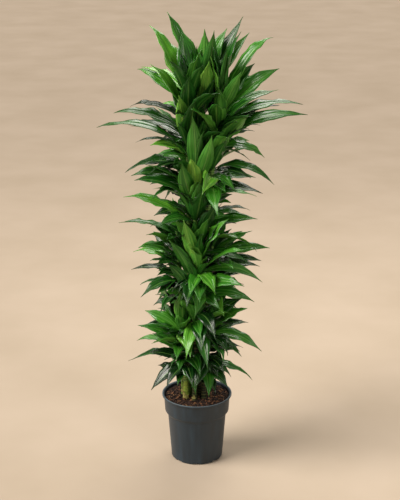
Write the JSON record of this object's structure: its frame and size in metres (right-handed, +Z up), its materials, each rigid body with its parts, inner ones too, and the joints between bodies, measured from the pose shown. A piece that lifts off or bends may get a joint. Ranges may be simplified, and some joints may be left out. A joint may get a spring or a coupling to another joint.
{
  "type": "potted corn plant",
  "caption": "Tall leafy indoor plant: stepped shoots of long waved blades on bare canes, standing in potting mix in a tapered plastic nursery pot with a wide rim band.",
  "frame": {"origin": "centre of the pot's flat underside, where it rests on the floor", "axes": "+Z up along the canes, -Y towards the side that the plant is best seen from, +X to the right of it"},
  "size_m": [0.7607, 0.4586, 1.725],
  "materials": {
    "pot_plastic": "moulded anthracite plastic, satin, slightly dusty",
    "potting_mix": "dark, moist potting mix with bark and coir bits",
    "cane_bark": "smooth tan and green cane with leaf scars",
    "leaf": "glossy green leaf with fine lengthwise veins"
  },
  "bodies": {
    "root": {"pot": "pot_plastic", "potting_mix": "potting_mix", "cane_half_front": "cane_bark", "cane_half_left": "cane_bark", "cane_half_right": "cane_bark", "cane_low_back": "cane_bark", "cane_low_left": "cane_bark", "cane_low_right": "cane_bark", "cane_middle_back": "cane_bark", "cane_middle_front": "cane_bark", "cane_tall_back": "cane_bark", "cane_tall_left": "cane_bark", "cane_tall_right": "cane_bark", "leaves_half_front": "leaf", "leaves_half_left": "leaf", "leaves_half_right": "leaf", "leaves_low_back": "leaf", "leaves_low_left": "leaf", "leaves_low_right": "leaf", "leaves_middle_back": "leaf", "leaves_middle_front": "leaf", "leaves_tall_back": "leaf", "leaves_tall_left": "leaf", "leaves_tall_right": "leaf"}
  },
  "joints": []
}
